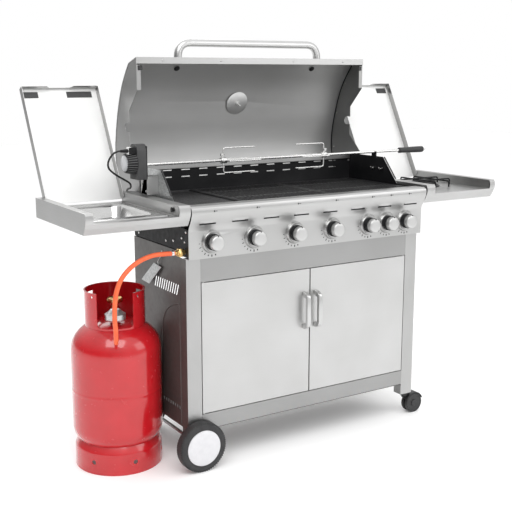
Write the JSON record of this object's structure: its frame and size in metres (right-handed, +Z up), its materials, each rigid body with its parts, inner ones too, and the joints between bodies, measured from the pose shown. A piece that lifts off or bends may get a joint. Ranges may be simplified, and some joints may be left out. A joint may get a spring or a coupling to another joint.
{
  "type": "gas barbecue grill",
  "caption": "Gas barbecue grill on a cabinet cart with hood, rotisserie, side tables with sink and ring burner, and a hose-fed gas bottle.",
  "frame": {"origin": "on the floor, under the middle of the whole grill's width and depth", "axes": "+X to the user's right when facing the doors, +Y from the doors to the back, +Z up"},
  "size_m": [1.67, 0.651, 1.4166],
  "materials": {
    "stainless": "brushed stainless sheet",
    "polished_steel": "satin polished steel",
    "cabinet_paint": "dark grey-brown painted sheet",
    "black_enamel": "black stove enamel",
    "cast_iron": "matt black enamelled iron",
    "galvanised": "dull zinc coat",
    "brass": "machined brass",
    "bottle_paint": "glossy red paint",
    "hose_rubber": "orange gas hose",
    "cord_rubber": "black cable sheath",
    "tyre_rubber": "black tread with a pale hub cover",
    "black_plastic": "black moulded plastic"
  },
  "bodies": {
    "cart": {"front_post_left": "stainless", "front_post_right": "stainless", "header_rail": "stainless", "bottom_rail": "stainless", "control_panel": "stainless", "burners": "stainless", "side_table_left": "stainless", "side_table_right": "stainless", "sink_basin": "stainless", "side_panel_left": "cabinet_paint", "side_panel_right": "cabinet_paint", "bottom_shelf": "cabinet_paint", "back_panel": "cabinet_paint", "firebox": "black_enamel", "pot_support": "black_enamel", "griddle_plate": "cast_iron", "cooking_grate_left": "cast_iron", "cooking_grate_right": "cast_iron", "side_burner": "cast_iron", "gas_manifold": "galvanised", "motor_bracket": "galvanised", "regulator": "galvanised", "wheel_axle": "galvanised", "gas_inlet": "brass", "bottle_valve": "brass", "gas_bottle": "bottle_paint", "gas_hose": "hose_rubber", "motor_cord": "cord_rubber", "motor_cord_coil": "cord_rubber", "rotisserie_motor": "black_plastic", "mains_plug": "black_plastic"},
    "hood": {"hood_shell": "stainless", "hood_end_left": "stainless", "hood_end_right": "stainless", "hood_handle": "polished_steel", "thermometer": "polished_steel"},
    "side_lid_left": {"side_lid_left": "stainless"},
    "side_lid_right": {"side_lid_right": "stainless"},
    "door_left": {"door_left": "stainless", "door_handle_left": "polished_steel"},
    "door_right": {"door_right": "stainless", "door_handle_right": "polished_steel"},
    "knob_1": {"knob_1": "polished_steel"},
    "knob_2": {"knob_2": "polished_steel"},
    "knob_3": {"knob_3": "polished_steel"},
    "knob_4": {"knob_4": "polished_steel"},
    "knob_5": {"knob_5": "polished_steel"},
    "knob_6": {"knob_6": "polished_steel"},
    "knob_7": {"knob_7": "polished_steel"},
    "spit": {"spit_rod": "polished_steel"},
    "spit_fork_left": {"spit_fork_left": "polished_steel"},
    "spit_fork_right": {"spit_fork_right": "polished_steel"},
    "wheel_front": {"wheel_front": "tyre_rubber"},
    "wheel_rear": {"wheel_rear": "tyre_rubber"},
    "caster_front": {"caster_fork_front": "black_plastic"},
    "caster_rear": {"caster_fork_rear": "black_plastic"},
    "caster_wheel_front": {"caster_wheel_front": "black_plastic"},
    "caster_wheel_rear": {"caster_wheel_rear": "black_plastic"},
    "valve_handwheel": {"valve_handwheel": "brass"},
    "grease_tray": {"grease_tray": "galvanised"}
  },
  "joints": [
    {"name": "hood_hinge", "type": "hinge", "parent": "cart", "child": "hood", "pos_m": [0, 0.1355, 0.955], "axis": [1, 0, 0], "range_deg": [0, 90]},
    {"name": "side_lid_left_hinge", "type": "hinge", "parent": "cart", "child": "side_lid_left", "pos_m": [-0.669, 0.1185, 0.881], "axis": [1, 0, 0], "range_deg": [0, 50]},
    {"name": "side_lid_right_hinge", "type": "hinge", "parent": "cart", "child": "side_lid_right", "pos_m": [0.669, 0.1185, 0.881], "axis": [1, 0, 0], "range_deg": [0, 68]},
    {"name": "door_left_hinge", "type": "hinge", "parent": "cart", "child": "door_left", "pos_m": [-0.423, -0.2555, 0.41], "axis": [0, 0, -1], "range_deg": [0, 110]},
    {"name": "door_right_hinge", "type": "hinge", "parent": "cart", "child": "door_right", "pos_m": [0.423, -0.2555, 0.41], "axis": [0, 0, 1], "range_deg": [0, 110]},
    {"name": "knob_1_turn", "type": "hinge", "parent": "cart", "child": "knob_1", "pos_m": [-0.401, -0.2995, 0.769], "axis": [0, -1, 0], "range_deg": [0, 205]},
    {"name": "knob_2_turn", "type": "hinge", "parent": "cart", "child": "knob_2", "pos_m": [-0.242, -0.2995, 0.769], "axis": [0, -1, 0], "range_deg": [0, 205]},
    {"name": "knob_3_turn", "type": "hinge", "parent": "cart", "child": "knob_3", "pos_m": [-0.08, -0.2995, 0.769], "axis": [0, -1, 0], "range_deg": [0, 205]},
    {"name": "knob_4_turn", "type": "hinge", "parent": "cart", "child": "knob_4", "pos_m": [0.077, -0.2995, 0.769], "axis": [0, -1, 0], "range_deg": [0, 205]},
    {"name": "knob_5_turn", "type": "hinge", "parent": "cart", "child": "knob_5", "pos_m": [0.236, -0.2995, 0.769], "axis": [0, -1, 0], "range_deg": [0, 205]},
    {"name": "knob_6_turn", "type": "hinge", "parent": "cart", "child": "knob_6", "pos_m": [0.321, -0.2995, 0.769], "axis": [0, -1, 0], "range_deg": [0, 205]},
    {"name": "knob_7_turn", "type": "hinge", "parent": "cart", "child": "knob_7", "pos_m": [0.406, -0.2995, 0.769], "axis": [0, -1, 0], "range_deg": [0, 205]},
    {"name": "spit_turn", "type": "hinge", "parent": "cart", "child": "spit", "pos_m": [0, -0.0205, 0.998], "axis": [1, 0, 0], "continuous": true},
    {"name": "spit_fork_left_slide", "type": "slide", "parent": "spit", "child": "spit_fork_left", "axis": [1, 0, 0], "range_m": [-0.2, 0.08]},
    {"name": "spit_fork_right_slide", "type": "slide", "parent": "spit", "child": "spit_fork_right", "axis": [1, 0, 0], "range_m": [-0.08, 0.2]},
    {"name": "wheel_front_turn", "type": "hinge", "parent": "cart", "child": "wheel_front", "pos_m": [-0.449, -0.2845, 0.085], "axis": [0, 1, 0], "continuous": true},
    {"name": "wheel_rear_turn", "type": "hinge", "parent": "cart", "child": "wheel_rear", "pos_m": [-0.449, 0.1535, 0.085], "axis": [0, 1, 0], "continuous": true},
    {"name": "valve_handwheel_turn", "type": "hinge", "parent": "cart", "child": "valve_handwheel", "pos_m": [-0.64, -0.0445, 0.56], "axis": [0, 0, 1], "range_deg": [0, 540]},
    {"name": "grease_tray_slide", "type": "slide", "parent": "cart", "child": "grease_tray", "axis": [0, 1, 0], "range_m": [0, 0.25]},
    {"name": "caster_front_swivel", "type": "hinge", "parent": "cart", "child": "caster_front", "pos_m": [0.47, -0.2355, 0.06], "axis": [0, 0, 1], "continuous": true},
    {"name": "caster_wheel_front_turn", "type": "hinge", "parent": "caster_front", "child": "caster_wheel_front", "pos_m": [0.51, -0.2355, 0.038], "axis": [0, 1, 0], "continuous": true},
    {"name": "caster_rear_swivel", "type": "hinge", "parent": "cart", "child": "caster_rear", "pos_m": [0.47, 0.1045, 0.06], "axis": [0, 0, 1], "continuous": true},
    {"name": "caster_wheel_rear_turn", "type": "hinge", "parent": "caster_rear", "child": "caster_wheel_rear", "pos_m": [0.51, 0.1045, 0.038], "axis": [0, 1, 0], "continuous": true}
  ]
}
